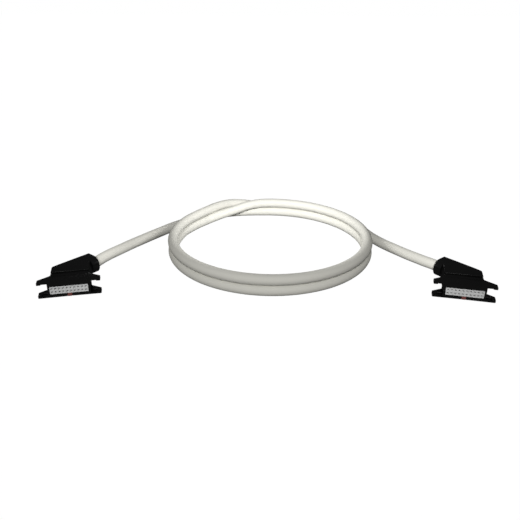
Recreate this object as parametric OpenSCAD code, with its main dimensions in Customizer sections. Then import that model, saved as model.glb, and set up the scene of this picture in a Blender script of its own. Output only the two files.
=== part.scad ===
// Round-jacketed 20-way system cable, coiled in two turns, with a hooded socket on each end.
// Frame: +Z up, floor at z = 0, origin under the middle of the two sockets' common box,
// +X from the left socket to the right one, the contact faces look towards -Y.

/* [Cable] */
// Outer diameter of the round jacket
cable_d = 8.2; // [7:0.1:9]
// Radius of the coil at the cable's centre line
coil_r = 78.9; // [78.5:0.1:80]
// How far a tail's jacket reaches into its hood, from the hood's mouth
jacket_in = 18; // [17:0.5:19]

/* [Contacts] */
// Contacts in one row
columns = 10; // [8:1:10]
// Distance between contacts, both ways
pitch = 2.54; // [2.4:0.01:2.54]
// Side of the square hole that a pin enters
pin_hole = 1.0; // [0.8:0.05:1.2]
// Side of the square countersink round each hole
pin_lead = 1.4; // [1.3:0.05:1.6]
// Side of the square cavity that holds a contact
cavity = 1.7; // [1.6:0.05:1.9]
// Thickness of the contact strip
strip = 0.25; // [0.2:0.01:0.3]
// Width of a contact's fork
fork_w = 1.1; // [1:0.05:1.15]
// How far a fork reaches through the ribbon into the cover
fork_reach = 1.8; // [1.2:0.1:2.2]
// Thickness of the front wall that the pins pass
entry_wall = 1.6; // [1.2:0.1:2]
// Depth of the countersink round each hole
lead_depth = 0.3; // [0.2:0.05:0.5]
// Width of the slot in a fork that cuts into one core of the ribbon
fork_slot = 0.36; // [0.3:0.02:0.4]
// How far a fork's foot reaches into its contact's box
fork_foot = 1.4; // [1.2:0.1:1.6]
// Depth of the spring windows in a contact's sides
window_depth = 1.6; // [1.2:0.1:1.8]
// Height of the spring windows in a contact's sides
window_h = 0.5; // [0.4:0.05:0.6]

/* [Socket] */
// Width of the grey front block
face_w = 25.7; // [25.4:0.1:26.2]
// Height of the grey front block
face_h = 5.2; // [5:0.1:5.6]
// How far the front block stands out of the hood
face_proud = 1; // [0.6:0.1:1.6]
// Width of the block behind the hood's front wall
flange_w = 26.8; // [26.5:0.1:27]
// Height of the block behind the hood's front wall
flange_h = 6.1; // [6:0.1:6.4]
// Depth of the block behind the hood's front wall
flange_depth = 3.7; // [3.4:0.1:3.8]
// Depth of the cover that presses the flat ribbon on the contacts
cover_depth = 3.2; // [3:0.1:3.3]
// Width of the polarising key
key_w = 3; // [2.5:0.1:3.5]
// Depth of the polarising key
key_depth = 1.5; // [1.2:0.1:1.7]

/* [Flat ribbon] */
// Width of the fanned-out ribbon
ribbon_w = 25.2; // [25:0.1:25.2]
// Thickness of the ribbon
ribbon_t = 0.9; // [0.8:0.05:0.95]

/* [Hood front] */
// Height of the front part with the wings
front_h = 11.4; // [11.2:0.1:11.8]
// Depth of the front part, up to the step
front_depth = 15.8; // [15:0.1:17]
// Width of the front part between the wings
body_w = 29; // [28.8:0.1:30]
// Depth of the wide stretch behind the wings
body_depth = 10.8; // [10.6:0.1:11.2]
// Thickness of the wall round the socket face
front_wall = 2.2; // [1.9:0.1:2.4]
// Width from wing tip to wing tip
wing_w = 42.8; // [41:0.1:45]
// Depth of a wing at its tip
wing_tip = 5.6; // [4.5:0.1:6.5]
// Thickness of a wing plate
wing_t = 1.8; // [1.5:0.1:2.1]
// Thickness of a wing plate at its front edge
wing_edge = 1.3; // [1:0.1:1.5]
// Depth of the bevel that leads a latch in between the wings
wing_bevel = 1.6; // [1:0.1:2.5]
// Radius of a wing's corners, seen from above
wing_corner = 1; // [0.5:0.1:1.3]
// Length of the lip left at a wing's tip by the latch recess
lip = 2.8; // [2:0.1:3.5]
// Height of the latch recess in a wing's inner face
recess = 0.9; // [0.5:0.1:1]
// Depth of the latch recess, from the front edge back
recess_depth = 4; // [3:0.1:5]
// Thickness of the roof and the floor over the socket
front_roof = 1.3; // [1.1:0.05:1.4]
// Thickness of the ribs that hold the socket, and of the stop behind the cover
rib_t = 1.2; // [1:0.1:1.3]

/* [Hood back] */
// Height of the hood behind the step
hood_h = 13; // [12.8:0.1:13.4]
// Width of the hood behind the step
hood_w = 26.5; // [26.5:0.1:27]
// Wall at the sides of the hood
side_wall = 1.2; // [1:0.05:1.25]
// Wall at the top and the bottom of the hood
flat_wall = 1.5; // [1.3:0.05:1.6]
// Radius of the corner opposite the outlet
corner_r = 2.2; // [1.5:0.1:3]
// Middle of the outlet's mouth, sideways from the middle of the face
outlet_x = 15.8; // [15:0.1:16.5]
// Middle of the outlet's mouth, back from the front edge
outlet_y = 38.9; // [38:0.1:40]
// Angle of the outlet from the face, seen from above
outlet_angle = 38; // [36:1:40]
// Length of the round outlet
outlet_len = 6.5; // [5.5:0.1:7.5]
// Side wall's straight depth before it flares to the outlet
flare_y = 24; // [23:0.5:25]
// Lip at the mouth that holds the bush in
mouth_lip = 1.2; // [1:0.1:1.5]
// Gap round the cable in the mouth
mouth_gap = 0.35; // [0.3:0.05:0.5]
// Radius of the pins that align the two hood halves
pin_r = 0.9; // [0.7:0.05:1]
// How far the pins reach into the upper hood
pin_len = 2.5; // [2:0.1:3]
// How far behind the step the pins stand
pin_back = 5; // [4.6:0.1:5.4]
// How many outlet lengths in from the mouth the flare starts
flare_share = 2.2; // [2:0.05:2.3]

/* [Cable entry] */
// Wall of the bush round the cable
bush_wall = 1.2; // [1.1:0.05:1.25]
// Length of the bush
bush_len = 6; // [5:0.5:7]
// Thickness of the tie round the cable
tie_t = 0.7; // [0.6:0.05:0.75]
// Height of the tie's head over its band
tie_head = 2; // [1.5:0.1:2.3]
// Width of the tie
tie_w = 2.5; // [2:0.1:3]

/* [Layout] */
// Distance between the middles of the two faces
span = 274.9; // [270:0.1:280]
// Turn of each face away from the long axis
face_turn = 12.3; // [10:0.1:14]
// How much nearer to the front the right face lies
right_forward = 1.8; // [0:0.1:3]

/* [Hidden] */
$fn = 48;
// Facets round a curve that is blended into a flat
hull_fn = 32;
// Clearance between moulded pieces that fit together
clearance = 0.05;
// Overlap that makes unions and cuts clean
eps = 0.02;
// Overlap of ribs, bosses and the flare with what they stand on
overlap = 0.5;
// How far a cut runs past the surface that it opens
past = 1;
// Half sides of a box that is larger than a connector, for cutting it at the parting plane
beyond = 2 * wing_w;

// Height of the parting plane, and of the middle of the face and of the outlet
mid_z = hood_h / 2;
// Height of the front part's underside over the floor
front_z = (hood_h - front_h) / 2;
// Radius of the round outlet
outlet_r = hood_h / 2;
// Half heights of the grey front block and of the block behind it
face_half_h = face_h / 2;
flange_half_h = flange_h / 2;
// Half height of the room for the socket and the ribbon
room_half_h = front_h / 2 - front_roof;

// Depths in a connector, from the front edge back: flange, ribbon, cover, and the end of their room
flange_y = front_wall + clearance;
ribbon_y = flange_y + flange_depth;
cover_y = ribbon_y + ribbon_t;
cover_end = cover_y + cover_depth;
room_end = cover_end + clearance;
// Half widths of that room and of the room behind it
room_half_w = flange_w / 2 + clearance;
back_half_w = hood_w / 2 - side_wall;

// Directions in plan: out of the outlet, and aside from it towards the slanted wall
out = [cos(outlet_angle), sin(outlet_angle)];
aside = [-sin(outlet_angle), cos(outlet_angle)];
// A plan point a distance t out of the mouth and s aside of the outlet's axis
function at(t, s) = [outlet_x, outlet_y] + t * out + s * aside;
// Where the line at s aside of the outlet's axis crosses a given x
function cross_y(s, x) = at((x - at(0, s)[0]) / out[0], s)[1];
// Points of an arc, from angle a to angle b
function arc(c, r, a, b, n) = [for (i = [0:n]) c + r * [cos(a + (b - a) * i / n), sin(a + (b - a) * i / n)]];
// Where the flare starts on the outlet's axis, and how far it reaches to the open side there
flare_t = -flare_share * outlet_len;
flare_s = -0.6 * outlet_r;
// Middle of the rounded corner opposite the outlet, and its number of facets
corner_fn = 6;
corner_x = -hood_w / 2 + corner_r;
corner = [corner_x, cross_y(outlet_r - corner_r, corner_x)];

// Radius of the bosses round the alignment pins, which run into the side walls, and the pins' places
pin_boss_r = 2 * pin_r;
pins = [[-back_half_w + 1.5 * pin_r, front_depth + pin_back],
        [back_half_w - 0.7 * pin_r, front_depth + pin_back - overlap]];
// Room past a pin's tip
pin_gap = 0.2;

// Side of a contact's box, and where it starts behind the face
contact_box = cavity - 2 * clearance;
contact_y = entry_wall - face_proud + clearance;
// How far the box ends before the ribbon
box_gap = 0.6;
// Room past a fork's tip in the cover
fork_gap = 0.3;

// Height of the ribbon's underside where it runs over the cover
ribbon_z = mid_z + flange_half_h;
// Width of the gathered ribbon under the hood's waist, and where it has that width
waist_w = 2 * back_half_w - 1;
waist_y = cover_end + (ribbon_w - waist_w) / 2 + box_gap;

// The connectors' common box in plan puts the origin between them: its front and back give the faces' place
tip_front = wing_corner * (cos(face_turn) - 1) - sin(face_turn) * (wing_w / 2 - wing_corner);
mouth_back = at(0, outlet_r)[0] * sin(face_turn) + at(0, outlet_r)[1] * cos(face_turn);
face_y = (right_forward - tip_front - mouth_back) / 2;

// Radius of the cable, and the sides of a tail's tube
cable_r = cable_d / 2;
tube_sides = 12;
// Middle of the coil
coil_x = 3.4;
coil_y = 63.4;
// Points of the tails on their way from a mouth to the coil: x, y, z
left_route = [[-127.5, 25.7, 6.8], [-125.3, 30.5, 7.1], [-123, 36.2, 7.1], [-120.5, 42.5, 6.5],
              [-117.6, 49.2, 5.6], [-114.2, 56, 4.8], [-110.2, 62.8, 4.3], [-105.6, 69.6, 4.1],
              [-98.8, 79.4, 4.1], [-90.6, 90.4, 4.1], [-81.6, 101.9, 4.1], [-71, 112.6, 4.1],
              [-59.3, 124, 4.1]];
right_route = [[126.2, 25.1, 6.4], [122.4, 30.6, 5.8], [119.1, 35.9, 5.3], [115.7, 41.1, 4.8],
               [112.3, 46.3, 4.4], [108.7, 51.6, 4.2], [101.2, 61.9, 4.1], [97.4, 67.5, 4.1],
               [94, 73.3, 4.1], [90.1, 81, 4.1], [86.5, 90.4, 4.1]];
// The right tail then lies along the coil's outside, and climbs towards the upper turn: angles round it
wrap_from = 24;
wrap_step = 8;
climb_from = 96;
climb_to = 128;
// Radius and height of that stretch
wrap_r = (coil_r + cable_d + clearance) / cos(wrap_step / 2);
climb = cable_d + clearance;
function wrap_z(a) = cable_r
    + climb * (1 - cos(180 * max(0, min(1, (a - climb_from) / (climb_to - climb_from))))) / 2;
function wrap(a) = [coil_x + wrap_r * cos(a), coil_y + wrap_r * sin(a), wrap_z(a)];

module left() { translate([-span / 2, face_y, 0]) rotate(face_turn) children(); }
module right() {
    translate([span / 2, face_y - right_forward, 0]) rotate(-face_turn) mirror([1, 0, 0]) children();
}
// A block by its width about the middle, its depth from y0 to y1 and its height from z0 to z1
module block(w, y0, y1, z0, z1, x = 0) { translate([x - w / 2, y0, z0]) cube([w, y1 - y0, z1 - z0]); }
// Children drawn along the outlet's axis: their +Z points out of the mouth, their +Y aside
module along_outlet(t) {
    translate([at(t, 0)[0], at(t, 0)[1], mid_z]) rotate([0, 0, outlet_angle]) rotate([0, 90, 0]) children();
}

// Prism that bevels the inner front edges of a pair of wings: from z up, or down for a negative rise
module wing_bevels(z, rise) {
    rotate([90, 0, 90]) linear_extrude(wing_w + 2 * past, center = true)
        polygon([[-past, z], [-past, z + rise * (1 + past / wing_bevel)], [wing_bevel, z]]);
}
module wing_plate(z0) {
    x = wing_w / 2 - wing_corner;
    // Turn of the outline where the tip's side meets the slanted edge, and the depth of that corner's middle
    slant = atan((wing_w - body_w) / (body_depth - wing_tip) / 2);
    y = wing_tip - wing_corner * tan(slant / 2);
    translate([0, 0, z0]) linear_extrude(wing_t) polygon(concat(
        arc([x, wing_corner], wing_corner, -90, 0, corner_fn),
        arc([x, y], wing_corner, 0, slant, corner_fn),
        [[body_w / 2, body_depth], [-body_w / 2, body_depth]],
        arc([-x, y], wing_corner, 180 - slant, 180, corner_fn),
        arc([-x, wing_corner], wing_corner, 180, 270, corner_fn)));
}
// The front part between floor and roof: body, waist and both pairs of wings
module front_form() {
    shoulder = (body_w - hood_w) / 2;
    translate([0, 0, front_z]) linear_extrude(front_h)
        polygon([[-body_w / 2, 0], [body_w / 2, 0], [body_w / 2, body_depth],
                 [hood_w / 2, body_depth + shoulder], [hood_w / 2, front_depth + overlap],
                 [-hood_w / 2, front_depth + overlap], [-hood_w / 2, body_depth + shoulder],
                 [-body_w / 2, body_depth]]);
    difference() {
        union() {
            wing_plate(front_z);
            wing_plate(front_z + front_h - wing_t);
        }
        // Latch recesses in the wings' inner faces leave a lip at each tip
        for (m = [-1, 1]) {
            w = (wing_w - body_w) / 2 - lip;
            block(w, -past, recess_depth, front_z + wing_t - recess, front_z + front_h - wing_t + recess,
                  m * (body_w + w) / 2);
        }
        wing_bevels(front_z + front_h - wing_t, wing_t - wing_edge);
        wing_bevels(front_z + wing_t, wing_edge - wing_t);
    }
}
// Plan of the straight hood behind the step, set in from its outside by a wall
module back_plan(inset) {
    x = hood_w / 2 - inset;
    y = front_depth - (inset > 0 ? past : 0);
    polygon(concat([[-x, y], [x, y], [x, flare_y - inset], at(flare_t, flare_s + inset),
                    at(flare_t, outlet_r - inset)],
                   arc(corner, corner_r - inset, 90 + outlet_angle, 180, corner_fn)));
}
// The barrel: round on the open side, square where the hood's slanted wall runs on
module barrel(t, len, r = outlet_r) {
    along_outlet(t) cylinder(r = r, h = len);
    along_outlet(t) translate([-r, 0, 0]) cube([2 * r, r, len]);
}
module hood_outside() {
    front_form();
    hull() {
        linear_extrude(hood_h) back_plan(0);
        // A little smaller than the barrel, so that it ends inside it
        barrel(-outlet_len, overlap, outlet_r - clearance, $fn = hull_fn);
    }
    barrel(-outlet_len, outlet_len);
}
module hood_inside() {
    // Window for the socket's front block
    block(face_w + 2 * clearance, -past, front_wall + past, mid_z - face_half_h - clearance,
          mid_z + face_half_h + clearance);
    // Room for the flange, the ribbon and the cover
    block(2 * room_half_w, front_wall, room_end, mid_z - room_half_h, mid_z + room_half_h);
    // Passage under the waist, then the room where the ribbon fans out
    a = room_half_w;
    b = back_half_w;
    translate([0, 0, mid_z - room_half_h]) linear_extrude(2 * room_half_h)
        polygon([[-a, room_end - past], [a, room_end - past], [a, room_end], [b, room_end + a - b],
                 [b, front_depth + flat_wall], [-b, front_depth + flat_wall],
                 [-b, room_end + a - b], [-a, room_end]]);
    translate([0, 0, flat_wall]) linear_extrude(hood_h - 2 * flat_wall)
        intersection() {
            back_plan(side_wall);
            translate([-hood_w / 2, front_depth + side_wall]) square([hood_w, outlet_y]);
        }
    // Bore for the bush, and the mouth that holds it in
    bore_t = flare_t - outlet_len / 2;
    along_outlet(bore_t) cylinder(r = cable_r + bush_wall + 2 * clearance, h = -bore_t - mouth_lip);
    along_outlet(-mouth_lip - past) cylinder(r = cable_r + mouth_gap, h = mouth_lip + 2 * past);
}
// Ribs that hold the flange between the shells
module flange_ribs(z0, z1) {
    for (x = [-1, 0, 1])
        block(rib_t, flange_y + overlap, flange_y + flange_depth - overlap, z0, z1, x * flange_w / 3);
}
module hood_upper() {
    color("#141414") difference() {
        union() {
            difference() {
                intersection() {
                    hood_outside();
                    block(2 * beyond, -beyond, beyond, mid_z, mid_z + hood_h);
                }
                hood_inside();
            }
            flange_ribs(mid_z + flange_half_h, mid_z + room_half_h + overlap);
            for (p = pins)
                translate([p[0], p[1], mid_z]) cylinder(r = pin_boss_r, h = mid_z - flat_wall + overlap);
        }
        for (p = pins) translate([p[0], p[1], mid_z - past])
            cylinder(r = pin_r + clearance, h = past + pin_len + pin_gap);
    }
}
module hood_lower() {
    color("#141414") difference() {
        union() {
            difference() {
                intersection() {
                    hood_outside();
                    block(2 * beyond, -beyond, beyond, mid_z - hood_h, mid_z);
                }
                hood_inside();
            }
            flange_ribs(mid_z - room_half_h - overlap, mid_z - flange_half_h);
            // Stop behind the cover, under the ribbon
            block(face_w * 0.8, room_end, room_end + rib_t, mid_z - room_half_h - overlap, mid_z - rib_t);
            for (p = pins) {
                translate([p[0], p[1], flat_wall - overlap])
                    cylinder(r = pin_boss_r, h = mid_z - flat_wall + overlap);
                translate([p[0], p[1], flat_wall]) cylinder(r = pin_r, h = mid_z - flat_wall + pin_len);
            }
        }
        // Slot for the polarising key
        block(key_w + 2 * clearance, -past, key_depth + clearance, -past, mid_z);
    }
}
module polarising_key() {
    color("#7c4640") block(key_w, 0, key_depth, front_z, mid_z - face_half_h - clearance);
}
// Centres of the contacts
function contact_x(i) = (i - (columns - 1) / 2) * pitch;
module each_contact() {
    for (i = [0:columns - 1], row = [-1, 1]) translate([contact_x(i), 0, mid_z + row * pitch / 2]) children();
}
module socket_body() {
    color("#b4b2aa") difference() {
        union() {
            block(face_w, -face_proud, flange_y + overlap, mid_z - face_half_h, mid_z + face_half_h);
            block(flange_w, flange_y, ribbon_y, mid_z - flange_half_h, mid_z + flange_half_h);
        }
        each_contact() {
            block(pin_lead, -face_proud - past, -face_proud + lead_depth, -pin_lead / 2, pin_lead / 2);
            block(pin_hole, -face_proud - past, ribbon_y, -pin_hole / 2, pin_hole / 2);
            block(cavity, entry_wall - face_proud, ribbon_y + past, -cavity / 2, cavity / 2);
        }
    }
}
// One contact: a square box that grips the pin, and a fork that cuts into the ribbon
module contact() {
    half = contact_box / 2;
    window_y = contact_y + 1;
    difference() {
        block(contact_box, contact_y, ribbon_y - box_gap, -half, half);
        block(contact_box - 2 * strip, contact_y - past, ribbon_y, -half + strip, half - strip);
        // Spring windows in both sides
        block(contact_box + past, window_y, window_y + window_depth, -window_h / 2, window_h / 2);
    }
    difference() {
        block(fork_w, ribbon_y - fork_foot, cover_y + fork_reach, half - strip, half);
        block(fork_slot, ribbon_y, cover_y + fork_reach + past, 0, contact_box);
    }
}
module contacts() { color("#c8a24a") each_contact() contact(); }
// Slots for the forks: those of both rows stand at the top of their box
module fork_slots(y0, y1) {
    half = contact_box / 2;
    each_contact() block(fork_w + 2 * clearance, y0, y1, half - strip - clearance, half + clearance);
}
module idc_cover() {
    color("#1c1c1c") difference() {
        block(flange_w, cover_y, cover_end, mid_z - flange_half_h, mid_z + flange_half_h);
        fork_slots(cover_y - past, cover_y + fork_reach + fork_gap);
    }
}
// The flat ribbon: pressed behind the socket, bent over the cover, and gathered into the jacket
module ribbon() {
    // The rolled-up bundle is an oblong that fits in the jacket
    bundle_w = 1.6 * cable_r;
    bundle_t = 0.9 * cable_r;
    color("#9a9a94") {
        difference() {
            block(ribbon_w, ribbon_y, cover_y, mid_z - flange_half_h, ribbon_z + ribbon_t);
            fork_slots(ribbon_y - past, cover_y + past);
        }
        translate([0, 0, ribbon_z]) linear_extrude(ribbon_t)
            polygon([[-ribbon_w / 2, ribbon_y], [ribbon_w / 2, ribbon_y], [ribbon_w / 2, cover_end],
                     [waist_w / 2, waist_y], [-waist_w / 2, waist_y], [-ribbon_w / 2, cover_end]]);
        hull() {
            block(waist_w, waist_y - eps, waist_y, ribbon_z, ribbon_z + ribbon_t);
            along_outlet(-jacket_in - eps) translate([-bundle_t / 2, -bundle_w / 2, 0])
                cube([bundle_t, bundle_w, eps]);
        }
    }
}
module cable_bush() {
    color("#181818") along_outlet(-mouth_lip - bush_len) difference() {
        cylinder(r = cable_r + clearance + bush_wall, h = bush_len);
        translate([0, 0, -past]) cylinder(r = cable_r + clearance, h = bush_len + 2 * past);
    }
}
module cable_tie() {
    r = cable_r + clearance + tie_t;
    color("#d8d6cc") along_outlet(-jacket_in + overlap) difference() {
        union() {
            cylinder(r = r, h = tie_w);
            translate([-tie_w / 2, -r - tie_head, 0]) cube([tie_w, tie_head + overlap, tie_w]);
        }
        translate([0, 0, -past]) cylinder(r = cable_r + clearance, h = tie_w + 2 * past);
    }
}

// One turned tube through a list of points, with a ring square to the route at each
function unit(v) = v / norm(v);
function heading(p, i) = unit(p[min(i + 1, len(p) - 1)] - p[max(i - 1, 0)]);
module tube(p) {
    n = tube_sides;
    last = len(p) - 1;
    points = [for (i = [0:last]) let (d = heading(p, i), u = unit(cross([0, 0, 1], d)), v = cross(d, u))
              for (k = [0:n - 1]) p[i] + cable_r * (cos(360 * k / n) * u + sin(360 * k / n) * v)];
    walls = [for (i = [0:last - 1], k = [0:n - 1]) let (a = i * n + k, b = i * n + (k + 1) % n)
             each [[a, b + n, b], [a, a + n, b + n]]];
    ends = [[for (k = [0:n - 1]) k], [for (k = [0:n - 1]) last * n + n - 1 - k]];
    polyhedron(points, concat(walls, ends));
}
// A point of a connector's outlet axis, in the part's own frame
function outlet_point(t, m) = let (p = at(t, 0))
    [m * (span / 2 - p[0] * cos(face_turn) + p[1] * sin(face_turn)),
     (m > 0 ? face_y - right_forward : face_y) + p[0] * sin(face_turn) + p[1] * cos(face_turn), mid_z];
module cable_tail_left() {
    color("#c6c4b8") tube(concat([outlet_point(-jacket_in, -1), outlet_point(0, -1)], left_route));
}
module cable_tail_right() {
    color("#c6c4b8") tube(concat([outlet_point(-jacket_in, 1), outlet_point(0, 1)], right_route,
                                 [for (a = [wrap_from:wrap_step:climb_to - wrap_step]) wrap(a)]));
}
module cable_coil() {
    color("#c6c4b8") translate([coil_x, coil_y, 0]) rotate_extrude($fn = 96) {
        translate([coil_r, cable_r]) circle(r = cable_r, $fn = 24);
        translate([coil_r, cable_r + cable_d]) circle(r = cable_r, $fn = 24);
        translate([coil_r - cable_r, cable_r]) square([cable_d, cable_d]);
    }
}

left() hood_upper();  // hood_upper_left
left() hood_lower();  // hood_lower_left
left() socket_body();  // socket_body_left
left() contacts();  // contacts_left
left() idc_cover();  // idc_cover_left
left() polarising_key();  // polarising_key_left
left() ribbon();  // ribbon_left
left() cable_bush();  // cable_bush_left
left() cable_tie();  // cable_tie_left
right() hood_upper();  // hood_upper_right
right() hood_lower();  // hood_lower_right
right() socket_body();  // socket_body_right
right() contacts();  // contacts_right
right() idc_cover();  // idc_cover_right
right() polarising_key();  // polarising_key_right
right() ribbon();  // ribbon_right
right() cable_bush();  // cable_bush_right
right() cable_tie();  // cable_tie_right
cable_tail_left();
cable_coil();
cable_tail_right();
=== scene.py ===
# %% [markdown]
# # A round cable with a hooded socket on each end
#
# The object is one finished cable. A light grey round jacket lies in two flat turns, and at each end it
# enters a black moulded hood. Each hood holds a grey socket with two rows of ten contacts. The hard
# parts come from a CAD model, which is loaded first and is never moved. This script adds what CAD does
# not give: the flexible cable as one smooth curve, the rounded edges of the mouldings, and the finish
# of every surface.

# %% Load the CAD frame
import math
import bmesh
import bpy
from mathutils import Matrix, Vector
from mathutils.bvhtree import BVHTree


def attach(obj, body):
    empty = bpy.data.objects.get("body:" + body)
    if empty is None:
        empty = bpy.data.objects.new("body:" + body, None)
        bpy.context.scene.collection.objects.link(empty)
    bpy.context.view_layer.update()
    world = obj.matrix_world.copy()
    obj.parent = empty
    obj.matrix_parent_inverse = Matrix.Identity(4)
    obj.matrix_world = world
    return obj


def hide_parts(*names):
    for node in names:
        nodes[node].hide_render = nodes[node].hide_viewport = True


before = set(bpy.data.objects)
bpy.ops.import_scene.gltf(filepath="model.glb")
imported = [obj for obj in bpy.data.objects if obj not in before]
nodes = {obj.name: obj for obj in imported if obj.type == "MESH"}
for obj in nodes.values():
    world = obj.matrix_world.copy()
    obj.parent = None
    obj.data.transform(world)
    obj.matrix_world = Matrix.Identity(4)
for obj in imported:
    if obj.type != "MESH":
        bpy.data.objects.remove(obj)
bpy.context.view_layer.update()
MM = 0.001

# %% [markdown]
# ## The camera
#
# A camera can be placed by eye, or worked out from things whose size is known. Here it was worked out:
# a coil is a circle, so the ellipse that it makes in a picture gives the tilt, and the spacing of the
# contacts, 2.54 mm, gives the distance. A lens of 40 mm then frames the whole cable.

# %% Camera
bpy.ops.object.camera_add(
    location=(-0.00497, -0.37506, 0.19881),
    rotation=[math.radians(a) for a in (64.5491, -0.3495, 0.1288)],
)
camera = bpy.context.object
camera.name = "front_camera"
camera.data.lens = 40.12
camera.data.sensor_width = 36
camera.data.clip_start = 0.01
bpy.context.scene.camera = camera
bpy.context.scene.view_settings.view_transform = "Standard"
print("camera looks down by", round(90 - math.degrees(camera.rotation_euler.x), 2), "degrees")

# %% [markdown]
# ## Where the cable leaves the hoods
#
# Each hood has a slanting outlet at its back, and the cable runs through it to the ribbon inside. The
# cable's ends could be placed by eye, but then they might miss the middle of the outlet. So they are
# worked out from the connector's own sizes: the middle of the outlet's mouth, measured from the middle
# of the grey face, the outlet's angle, and the angle by which the connector itself is turned. All sizes
# are in millimetres.

# %% Outlets of the hoods
CABLE_D = 8.2
SPAN, FACE_Y, RIGHT_FORWARD, FACE_TURN = 274.9, -19.678, 1.8, math.radians(12.3)
OUTLET, OUTLET_ANGLE, MID_Z = (15.8, 38.9), math.radians(38), 6.5
JACKET_IN = 18


def outlet_point(t, side):
    """A point t along an outlet's axis, out of the mouth: side is -1 for left and 1 for right."""
    x = OUTLET[0] + t * math.cos(OUTLET_ANGLE)
    y = OUTLET[1] + t * math.sin(OUTLET_ANGLE)
    forward = RIGHT_FORWARD if side > 0 else 0
    return (
        side * (SPAN / 2 - x * math.cos(FACE_TURN) + y * math.sin(FACE_TURN)),
        FACE_Y - forward + x * math.sin(FACE_TURN) + y * math.cos(FACE_TURN),
        MID_Z,
    )


leave_left = [outlet_point(t, -1) for t in (-JACKET_IN, -12, -6, -1)]
enter_right = [outlet_point(t, 1) for t in (-1, -6, -12, -JACKET_IN)]
print("mouths in mm:", [[round(c, 1) for c in outlet_point(0, side)] for side in (-1, 1)])

# %% [markdown]
# ## The two loose stretches
#
# Between a hood and the coil the cable lies in an easy bend. It comes out of the hood a little above the
# table and sinks onto it. A formula could draw such a bend, but a cable settles as it likes. So the
# points are listed one by one, each one a place that the middle of the cable really passes.

# %% Stretches between the hoods and the coil
left_stretch = [
    (-126.4, 30.2, 6.8), (-122.6, 37.8, 6.6), (-117.1, 48.8, 5.7),
    (-110.4, 62.2, 4.6), (-105.3, 70.4, 4.2), (-98.6, 79.9, 4.1),
    (-90.6, 90.4, 4.1), (-81.6, 101.9, 4.1), (-71, 112.6, 4.1),
]
right_stretch = [
    (86.5, 90.4, 4.1), (90.1, 81, 4.1), (94, 73.3, 4.1), (97.4, 67.5, 4.1),
    (101.2, 61.9, 4.1), (108.7, 51.6, 4.2), (112.3, 46.3, 4.4), (115.7, 41.1, 4.8),
    (119.1, 35.9, 5.3), (122.4, 30.6, 5.8), (126.2, 25.1, 6.4),
]
print("points by hand:", len(left_stretch), "left and", len(right_stretch), "right")

# %% [markdown]
# ## The coil
#
# The cable meets the coil from outside, at the back. It lies on the table for the lower turn, rises on
# the inner side for the upper turn, passes over the incoming stretch, and comes down outside the coil. A
# cable this thick can't climb its own height at once, so the climb and the way down are drawn out from
# 136 to 84 degrees. The turns are plain circles, which could be a ready-made curve, but the cable has to
# run on from them without a joint. So a loop works out their points.

# %% Points round the coil
COIL = (3.4, 63.4)
COIL_R, OUTER_R = 78.9, 87.15
LOW, HIGH = CABLE_D / 2, CABLE_D * 1.5
TURN_START, TURN_END, TURN_STEP = 84, -212, 12


def round_coil(angle, radius, z):
    """A point at an angle about the coil's middle, anticlockwise from +X, in degrees."""
    a = math.radians(angle)
    return (COIL[0] + radius * math.cos(a), COIL[1] + radius * math.sin(a), z)


def turn(z):
    """Points of one turn of the coil at a height, clockwise as seen from above."""
    return [round_coil(a, COIL_R, z) for a in range(TURN_START, TURN_END, -TURN_STEP)]


print("the coil is", round(2 * COIL_R + CABLE_D, 1), "mm across, with", len(turn(LOW)), "points on a turn")

# %% Crossing at the back of the coil
CROSSING = (136, 125, 115, 105, 95)
onto_coil = [round_coil(a, r, LOW) for a, r in zip(CROSSING, (87.1, 85.5, 83.2, 80.8, 79.2))]
step_up = [
    round_coil(a, r, z)
    for a, r, z in zip(CROSSING, (COIL_R, 77.6, 76.3, 76.7, 78.2), (LOW, 6.3, 8.6, 11.3, HIGH))
]
off_coil = [round_coil(146, COIL_R, HIGH)] + [
    round_coil(a, r, z)
    for a, r, z in zip(CROSSING, (80.2, 83.7, 87, 87.3, 87.3), (HIGH, 12.2, 11.4, 9.3, 5.7))
]
outside = [round_coil(a, OUTER_R, LOW) for a in range(TURN_START, 22, -TURN_STEP)]
outside.append(round_coil(18, 87.3, LOW))
print("the crossing takes", CROSSING[0] - TURN_START, "degrees")

# %% Whole route of the cable
route = (
    leave_left
    + left_stretch
    + onto_coil
    + turn(LOW)
    + step_up
    + turn(HIGH)
    + off_coil
    + outside
    + right_stretch
    + enter_right
)
print("points on the cable's route:", len(route))

# %% [markdown]
# ## The cable as one curve
#
# A cable is equally thick everywhere and bends smoothly. It could be a bent cylinder, or rings of a mesh
# along the way. The easy way is a curve with a round bevel: the curve is the centre line, and the bevel
# depth is the cable's radius. Each handle points along the line from the point before to the point
# after, which keeps the bend smooth, and no handle goes below the table.

# %% Cable as one curve
line = bpy.data.curves.new("cable", "CURVE")
line.dimensions = "3D"
spline = line.splines.new("BEZIER")
spline.bezier_points.add(len(route) - 1)
for i, point in enumerate(spline.bezier_points):
    here, before, after = (Vector(route[j]) * MM for j in (i, max(i - 1, 0), min(i + 1, len(route) - 1)))
    heading = (after - before).normalized()
    point.handle_left_type = point.handle_right_type = "FREE"
    point.co = here
    point.handle_left = here - heading * (here - before).length / 3
    point.handle_right = here + heading * (after - here).length / 3
    for handle in (point.handle_left, point.handle_right):
        handle.z = max(handle.z, LOW * MM)
line.bevel_depth = CABLE_D / 2 * MM
line.bevel_resolution = 12
line.resolution_u = 12
line.use_fill_caps = True
cable = bpy.data.objects.new("cable", line)
bpy.context.scene.collection.objects.link(cable)

# %% [markdown]
# ## The pale room and the floor
#
# The cable lies on white paper in a pale room. White could be had from more light, but that would wash
# out the object. So the world and the floor are white only for what the camera sees directly, in a
# reflection or through glass, and they give the object much less light than that. The floor is part
# glow and part matt paper, so it still darkens where the object shades it.

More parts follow.
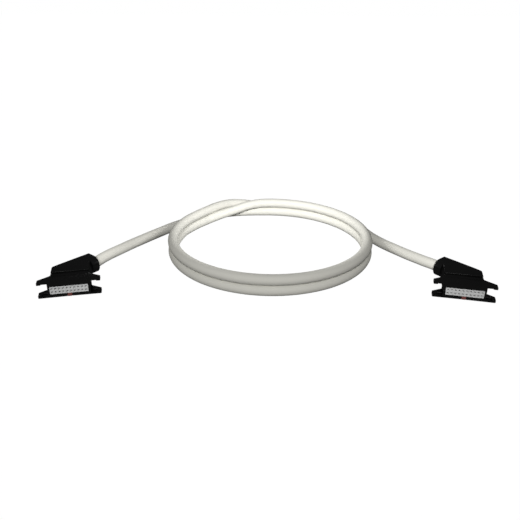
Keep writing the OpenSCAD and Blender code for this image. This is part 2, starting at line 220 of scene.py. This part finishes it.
# %% What the camera sees
def camera_sees(tree):
    """A socket that is 1 for what is seen directly, in a reflection or through glass, and 0 otherwise."""
    path = tree.nodes.new("ShaderNodeLightPath")
    seen = path.outputs["Is Camera Ray"]
    for kind in ("Is Glossy Ray", "Is Transmission Ray"):
        either = tree.nodes.new("ShaderNodeMath")
        either.operation = "MAXIMUM"
        tree.links.new(seen, either.inputs[0])
        tree.links.new(path.outputs[kind], either.inputs[1])
        seen = either.outputs[0]
    return seen


# %% World light
ROOM_LIGHT, WHITE = 0.03, 1
world = bpy.data.worlds.new("pale_room")
bpy.context.scene.world = world
world.use_nodes = True
nt = world.node_tree
nt.nodes.clear()
pick = nt.nodes.new("ShaderNodeMixShader")
nt.links.new(camera_sees(nt), pick.inputs[0])
for strength, entry in ((ROOM_LIGHT, 1), (WHITE, 2)):
    backdrop = nt.nodes.new("ShaderNodeBackground")
    backdrop.inputs["Color"].default_value = (1, 1, 1, 1)
    backdrop.inputs["Strength"].default_value = strength
    nt.links.new(backdrop.outputs[0], pick.inputs[entry])
sky = nt.nodes.new("ShaderNodeOutputWorld")
nt.links.new(pick.outputs[0], sky.inputs["Surface"])
print("room light strength:", ROOM_LIGHT)

# %% Floor
FLOOR_SIZE, FLOOR_DROP = 8, 0.0002
PAPER_TONE, PAPER_GLOW, GLOW_SHARE = 0.1, 1.642, 0.6
bpy.ops.object.select_all(action="DESELECT")
bpy.ops.mesh.primitive_plane_add(size=FLOOR_SIZE, location=(0, 0, -FLOOR_DROP))
floor = bpy.context.object
floor.name = "floor"
paper = bpy.data.materials.new("white_paper")
paper.use_nodes = True
nt = paper.node_tree
nt.nodes.clear()
matt = nt.nodes.new("ShaderNodeBsdfDiffuse")
matt.inputs["Color"].default_value = (PAPER_TONE, PAPER_TONE, PAPER_TONE, 1)
glow = nt.nodes.new("ShaderNodeEmission")
glow.inputs["Strength"].default_value = PAPER_GLOW
share = nt.nodes.new("ShaderNodeMath")
share.operation = "MULTIPLY"
share.inputs[1].default_value = GLOW_SHARE
nt.links.new(camera_sees(nt), share.inputs[0])
blend = nt.nodes.new("ShaderNodeMixShader")
nt.links.new(share.outputs[0], blend.inputs[0])
nt.links.new(matt.outputs[0], blend.inputs[1])
nt.links.new(glow.outputs[0], blend.inputs[2])
out = nt.nodes.new("ShaderNodeOutputMaterial")
nt.links.new(blend.outputs[0], out.inputs["Surface"])
floor.data.materials.append(paper)
print("floor at z =", floor.location.z)

# %% [markdown]
# ## The lamps
#
# One large soft lamp next to the camera keeps the shadows small and makes the round jacket brightest
# along its middle. It could be a big square lamp, but a distant one with a wide disc, which Blender
# calls a sun, lights both ends of the cable alike. A weak one from behind keeps the back of the coil
# from going black. It stays low, so that the shiny tops of the hoods don't mirror it. Three small lamps
# over the coil's middle light its inner sides, and two narrow beams lift the cable next to the hoods.

# %% Distant lamps in front and behind
def distant_lamp(name, tilt, swing, width, power):
    """A sun, with the tilt and swing of its beam and the width of its disc in degrees."""
    bpy.ops.object.light_add(type="SUN", rotation=(math.radians(tilt), 0, math.radians(swing)))
    lamp = bpy.context.object
    lamp.name = name
    lamp.data.energy = power
    lamp.data.angle = math.radians(width)
    return lamp


front_lamp = distant_lamp("front_lamp", 58, -6, 16, 2.62)
back_lamp = distant_lamp("back_lamp", -85, 10, 8, 1.1)
print("distant lamps:", [(lamp.name, round(lamp.data.energy, 2)) for lamp in (front_lamp, back_lamp)])


# %% Small lamps over the coil
def aimed(place, towards):
    """The rotation that turns a lamp at a place towards a point."""
    return (Vector(towards) - Vector(place)).to_track_quat("-Z", "Y").to_euler()


def square_lamp(name, place, towards, size, power):
    """A soft square lamp at a place, turned towards a point, and not seen by the camera."""
    bpy.ops.object.light_add(type="AREA", location=place, rotation=aimed(place, towards))
    lamp = bpy.context.object
    lamp.name = name
    lamp.data.size = size
    lamp.data.energy = power
    lamp.visible_camera = False
    return lamp


OVER_COIL, COIL_LAMP_SIZE = (0.0034, 0.05, 0.06), 0.03
coil_lamps = [
    square_lamp("far_lamp", OVER_COIL, (0.0034, 0.142, 0.035), COIL_LAMP_SIZE, 0.085),
    square_lamp("left_lamp", OVER_COIL, (-0.08, 0.05, 0.035), COIL_LAMP_SIZE, 0.05),
    square_lamp("right_lamp", OVER_COIL, (0.087, 0.05, 0.035), COIL_LAMP_SIZE, 0.05),
]
print("coil lamps:", [lamp.name for lamp in coil_lamps])


# %% Narrow lamps on the cable next to the hoods
def narrow_lamp(name, place, towards, width, power):
    """A spot lamp whose soft round beam has a width in degrees."""
    bpy.ops.object.light_add(type="SPOT", location=place, rotation=aimed(place, towards))
    lamp = bpy.context.object
    lamp.name = name
    lamp.data.spot_size = math.radians(width)
    lamp.data.spot_blend = 1
    lamp.data.shadow_soft_size = 0.02
    lamp.data.energy = power
    return lamp


BY_CAMERA, BEAM_WIDTH = (0, -0.36, 0.25), 8
tail_lamps = [
    narrow_lamp("left_tail_lamp", BY_CAMERA, (-0.126, 0.036, 0.006), BEAM_WIDTH, 7),
    narrow_lamp("right_tail_lamp", BY_CAMERA, (0.126, 0.034, 0.006), BEAM_WIDTH, 6),
]
print("narrow lamps:", [lamp.name for lamp in tail_lamps])

# %% [markdown]
# ## The grain of moulded plastic
#
# Moulded plastic is never perfectly even: the mould gives it a fine grain, and the colour drifts a
# little from one place to the next. Each material could have its own noise, but several share that
# effect, so it is built once as a node group with its own inputs, and each material sets what differs.

# %% Moulded grain group
def moulded_grain_group():
    """Height and tone of a moulded surface, from two scales of noise."""
    group = bpy.data.node_groups.new("moulded_grain", "ShaderNodeTree")
    face = group.interface
    face.new_socket(name="Vector", in_out="INPUT", socket_type="NodeSocketVector")
    for name, value in (("Grain Size", 3000), ("Drift Size", 60)):
        socket = face.new_socket(name=name, in_out="INPUT", socket_type="NodeSocketFloat")
        socket.default_value = value
    for name in ("Height", "Drift"):
        face.new_socket(name=name, in_out="OUTPUT", socket_type="NodeSocketFloat")
    inside = group.nodes.new("NodeGroupInput")
    result = group.nodes.new("NodeGroupOutput")
    for size, detail, name in (("Grain Size", 3, "Height"), ("Drift Size", 2, "Drift")):
        noise = group.nodes.new("ShaderNodeTexNoise")
        noise.inputs["Detail"].default_value = detail
        group.links.new(inside.outputs["Vector"], noise.inputs["Vector"])
        group.links.new(inside.outputs[size], noise.inputs["Scale"])
        group.links.new(noise.outputs["Fac"], result.inputs[name])
    return group


GRAIN = moulded_grain_group()
gives = [socket.name for socket in GRAIN.interface.items_tree if socket.in_out == "OUTPUT"]
print("node group:", GRAIN.name, "gives", gives)

# %% Moulded material helper
GRAIN_DEPTH = 0.05 * MM
GLOSS_DRIFT, COAT_IOR = 0.05, 3


def moulded(name, dark, light, rough, grain=3000, bump=0.15, specular=0.5, metal=0.0, gloss_coat=0.0):
    """A plastic or metal whose colour drifts between two tones, with a fine grain where it has a bump."""
    material = bpy.data.materials.new(name)
    material.use_nodes = True
    nt = material.node_tree
    shader = nt.nodes["Principled BSDF"]
    shader.inputs["Metallic"].default_value = metal
    shader.inputs["Specular IOR Level"].default_value = specular
    shader.inputs["Coat Weight"].default_value = gloss_coat
    shader.inputs["Coat IOR"].default_value = COAT_IOR
    shader.inputs["Coat Roughness"].default_value = rough
    where = nt.nodes.new("ShaderNodeTexCoord")
    effect = nt.nodes.new("ShaderNodeGroup")
    effect.node_tree = GRAIN
    effect.inputs["Grain Size"].default_value = grain
    nt.links.new(where.outputs["Object"], effect.inputs["Vector"])
    tone = nt.nodes.new("ShaderNodeMix")
    tone.data_type = "RGBA"
    tone.inputs["A"].default_value = (*dark, 1)
    tone.inputs["B"].default_value = (*light, 1)
    nt.links.new(effect.outputs["Drift"], tone.inputs["Factor"])
    nt.links.new(tone.outputs["Result"], shader.inputs["Base Color"])
    gloss = nt.nodes.new("ShaderNodeMapRange")
    gloss.inputs["To Min"].default_value = rough - GLOSS_DRIFT
    gloss.inputs["To Max"].default_value = rough + GLOSS_DRIFT
    nt.links.new(effect.outputs["Drift"], gloss.inputs["Value"])
    nt.links.new(gloss.outputs["Result"], shader.inputs["Roughness"])
    if bump:
        relief = nt.nodes.new("ShaderNodeBump")
        relief.inputs["Strength"].default_value = bump
        relief.inputs["Distance"].default_value = GRAIN_DEPTH
        nt.links.new(effect.outputs["Height"], relief.inputs["Height"])
        nt.links.new(relief.outputs["Normal"], shader.inputs["Normal"])
    return material


# %% [markdown]
# ## The finish of each piece
#
# The hood is a deep black plastic with a smooth skin, so a thin coat gives all of its shine. The grey
# socket and the red key are matt. Inside the hood are a black cover and bush, a white tie and gilded
# contacts. The jacket is a soft matt grey with a touch of yellow. It could have a fine grain too, but
# that would only show as noise at this distance, so it has neither bump nor shine.

# %% Finishes of the hoods, the sockets and the keys
hood_black = moulded(
    "hood_black", (0.002, 0.002, 0.002), (0.004, 0.004, 0.004), 0.25, specular=0, gloss_coat=0.013
)
socket_grey = moulded("socket_grey", (0.44, 0.445, 0.44), (0.54, 0.545, 0.54), 0.55, specular=0.2)
key_red = moulded("key_red", (0.11, 0.035, 0.03), (0.16, 0.05, 0.045), 0.5, specular=0.2)
print("finishes that show:", [m.name for m in (hood_black, socket_grey, key_red)])

# %% Finishes inside the hoods
cover_black = moulded("cover_black", (0.012, 0.012, 0.012), (0.02, 0.02, 0.02), 0.5)
bush_black = moulded("bush_black", (0.006, 0.006, 0.006), (0.012, 0.012, 0.012), 0.6, specular=0.2)
tie_white = moulded("tie_white", (0.68, 0.67, 0.6), (0.78, 0.77, 0.7), 0.4)
contact_gold = moulded(
    "contact_gold", (0.75, 0.5, 0.16), (0.85, 0.6, 0.22), 0.28, bump=0.05, metal=1.0
)
print("finishes inside:", [m.name for m in (cover_black, bush_black, tie_white, contact_gold)])

# %% Finish of the jacket
jacket_grey = moulded(
    "jacket_grey", (0.57, 0.562, 0.513), (0.59, 0.582, 0.533), 0.6, bump=0, specular=0
)
print("finish of the cable:", jacket_grey.name)

# %% [markdown]
# ## The ribbon inside the hoods
#
# The flat ribbon is twenty cores side by side, 1.27 mm apart, with a groove between each two. It is
# hidden in the closed hood, so the cores aren't modelled: a wave texture paints a dark stripe along each
# groove as painted shade, where the plastic itself is the same grey. At a scale of 1 that texture has a
# wave in every tenth of pi, so the scale below gives one wave to a core. Each connector is turned, and a
# Mapping node turns the pattern with it.

# %% Ribbon finish, with painted shade in the grooves
CORE_PITCH = 1.27
WAVE_PITCH = math.pi / 10
# Painted shade: a dark tone that stands for the shade in the grooves, not a colour of the plastic.
PAINTED_GROOVE_SHADE = (0.08, 0.08, 0.075, 1)


def ribbon_finish(name, turned):
    """Grey ribbon with painted shade in the groove between its cores, for a connector that is turned by an
    angle.
    """
    material = moulded(name, (0.3, 0.3, 0.28), (0.36, 0.36, 0.33), 0.5)
    nt = material.node_tree
    shader = nt.nodes["Principled BSDF"]
    where = nt.nodes.new("ShaderNodeTexCoord")
    across = nt.nodes.new("ShaderNodeMapping")
    across.inputs["Rotation"].default_value = (0, 0, turned)
    nt.links.new(where.outputs["Object"], across.inputs["Vector"])
    cores = nt.nodes.new("ShaderNodeTexWave")
    cores.inputs["Scale"].default_value = WAVE_PITCH / (CORE_PITCH * MM)
    nt.links.new(across.outputs["Vector"], cores.inputs["Vector"])
    plain = shader.inputs["Base Color"].links[0].from_socket
    # Mixes the painted groove shade into the ribbon's grey along the wave's stripes.
    groove_shade_mix = nt.nodes.new("ShaderNodeMix")
    groove_shade_mix.data_type = "RGBA"
    groove_shade_mix.inputs["A"].default_value = PAINTED_GROOVE_SHADE
    nt.links.new(cores.outputs["Fac"], groove_shade_mix.inputs["Factor"])
    nt.links.new(plain, groove_shade_mix.inputs["B"])
    nt.links.new(groove_shade_mix.outputs["Result"], shader.inputs["Base Color"])
    return material


RIBBON_FINISH = {
    "left": ribbon_finish("ribbon_grey_left", -FACE_TURN),
    "right": ribbon_finish("ribbon_grey_right", FACE_TURN),
}
print("ribbon finishes:", [m.name for m in RIBBON_FINISH.values()])

# %% [markdown]
# ## The cable's place in the object
#
# The CAD model holds the cable as three solids, two tails and a closed coil. They could be kept as they
# are, but they don't run on into each other. So the curve stands in for all three, as one cord of the
# cable's own thickness that leaves each hood at its outlet: it takes the jacket's finish and hangs on the
# object's root, and the three solids are hidden.

# %% Jacket of the cable
cable.data.materials.append(jacket_grey)
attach(cable, "root")
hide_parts("cable_tail_left", "cable_coil", "cable_tail_right")
print("the cable stands in for three CAD nodes")

# %% [markdown]
# ## Finishes on the CAD pieces
#
# Each piece is one material all through, as it comes from one mould or one strip of metal. The finishes
# could be put on piece by piece. A table from a piece's name to its finish does both ends at once, and
# only the ribbon needs one finish for each side.

# %% Dress the CAD nodes
FINISH = {
    "hood_upper": hood_black,
    "hood_lower": hood_black,
    "socket_body": socket_grey,
    "contacts": contact_gold,
    "idc_cover": cover_black,
    "polarising_key": key_red,
    "cable_bush": bush_black,
    "cable_tie": tie_white,
}
for node, part in nodes.items():
    base, side = node.rsplit("_", 1)
    finish = RIBBON_FINISH[side] if base == "ribbon" else FINISH.get(base)
    if finish:
        part.data.materials.clear()
        part.data.materials.append(finish)
print("dressed:", len(FINISH) + 1, "kinds of piece")

# %% [markdown]
# ## Rounded edges on the mouldings
#
# No moulded edge is perfectly sharp: a small radius catches the light, and without it plastic looks like
# cut paper. The shells could be modelled again from a cube, but they have to fit the CAD to a tenth of a
# millimetre. So each one starts as a merged copy of its CAD node, its flat faces are cleaned, and the
# edges that face outwards get a bevel. A ray from the middle of each edge tells which those are: it
# leaves the object without hitting anything.

# %% Copy and clean a CAD node
MERGE_WITHIN = 0.002
FLAT_WITHIN = math.radians(0.5)


def clean_copy(node):
    """A merged copy of a CAD node, its flat faces joined, active and in edit mode."""
    bpy.ops.object.select_all(action="DESELECT")
    copy = bpy.data.objects.new(node + "_moulded", nodes[node].data.copy())
    bpy.context.scene.collection.objects.link(copy)
    copy.select_set(True)
    bpy.context.view_layer.objects.active = copy
    bpy.ops.mesh.customdata_custom_splitnormals_clear()
    bpy.ops.object.mode_set(mode="EDIT")
    bpy.ops.mesh.select_all(action="SELECT")
    bpy.ops.mesh.remove_doubles(threshold=MERGE_WITHIN * MM)
    bpy.ops.mesh.dissolve_limited(angle_limit=FLAT_WITHIN)
    return copy


# %% Pieces that hide each other's edges
SHOWING = ("hood_upper_", "hood_lower_", "socket_body_", "polarising_key_")


def showing_tree(side):
    """One search tree of the faces of a connector's pieces that show."""
    corners, faces = [], []
    for base in SHOWING:
        mesh = nodes[base + side].data
        start = len(corners)
        corners += [v.co.copy() for v in mesh.vertices]
        faces += [[start + i for i in f.vertices] for f in mesh.polygons]
    return BVHTree.FromPolygons(corners, faces)


# %% Find the edges that face outwards
SHORTEST_EDGE, ON_PLANE, RAY_START = 0.3, 0.01, 0.02
SHARP_FROM = math.radians(35)


def select_outer_edges(part, tree, parting):
    """Selects sharp convex edges from which a ray gets away: those on the parting plane, or all others."""
    bpy.ops.mesh.select_mode(type="EDGE")
    bpy.ops.mesh.select_all(action="DESELECT")
    shape = bmesh.from_edit_mesh(part.data)
    count = 0
    for edge in shape.edges:
        if len(edge.link_faces) != 2 or edge.calc_length() < SHORTEST_EDGE * MM or not edge.is_convex:
            continue
        if edge.calc_face_angle() < SHARP_FROM:
            continue
        on_plane = all(abs(v.co.z - MID_Z * MM) < ON_PLANE * MM for v in edge.verts)
        away = (edge.link_faces[0].normal + edge.link_faces[1].normal).normalized()
        middle = (edge.verts[0].co + edge.verts[1].co) / 2
        if on_plane == parting and tree.ray_cast(middle + away * RAY_START * MM, away)[0] is None:
            edge.select = True
            count += 1
    bmesh.update_edit_mesh(part.data)
    return count


# %% Round those edges and shade the piece
SMOOTH_TO = math.radians(40)


def round_outer_edges(part, tree, width, segments, parting=False):
    """Bevels a part's outer edges by a width in millimetres, and says how many there were."""
    count = select_outer_edges(part, tree, parting)
    bpy.ops.mesh.bevel(offset=width * MM, segments=segments, clamp_overlap=False, loop_slide=False)
    return count


def leave_smooth():
    """Leaves edit mode and shades the active piece smooth, with its sharp edges kept."""
    bpy.ops.object.mode_set(mode="OBJECT")
    bpy.ops.object.shade_smooth_by_angle(angle=SMOOTH_TO)


# %% Round the shells of both hoods
HOOD_ROUND, SEAM_ROUND = 0.35, 0.1
for side in ("left", "right"):
    tree = showing_tree(side)
    for half in ("hood_upper_", "hood_lower_"):
        shell = clean_copy(half + side)
        outer = round_outer_edges(shell, tree, HOOD_ROUND, 3)
        seam = round_outer_edges(shell, tree, SEAM_ROUND, 1, parting=True)
        leave_smooth()
        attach(shell, "root")
        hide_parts(half + side)
        print(shell.name, "outer edges:", outer, "parting edges:", seam, "faces:", len(shell.data.polygons))

# %% [markdown]
# ## The socket blocks and the keys
#
# The grey block is moulded in one piece, with a small lead-in round each of its twenty holes. Its outer
# edges and the rims of the holes get a fine bevel, as the shells do, only smaller. The red key is a small
# tab in a slot of the lower shell, and its visible end is softened in the same way.

# %% Soften the socket blocks and the keys
BLOCK_ROUND, KEY_ROUND = 0.12, 0.15
for side in ("left", "right"):
    tree = showing_tree(side)
    for base, width, slot in (
        ("socket_body_", BLOCK_ROUND, "socket_plastic"),
        ("polarising_key_", KEY_ROUND, "key_plastic"),
    ):
        piece = clean_copy(base + side)
        outer = round_outer_edges(piece, tree, width, 2)
        leave_smooth()
        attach(piece, "root")
        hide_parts(base + side)
        print(piece.name, "outer edges:", outer, "faces:", len(piece.data.polygons))
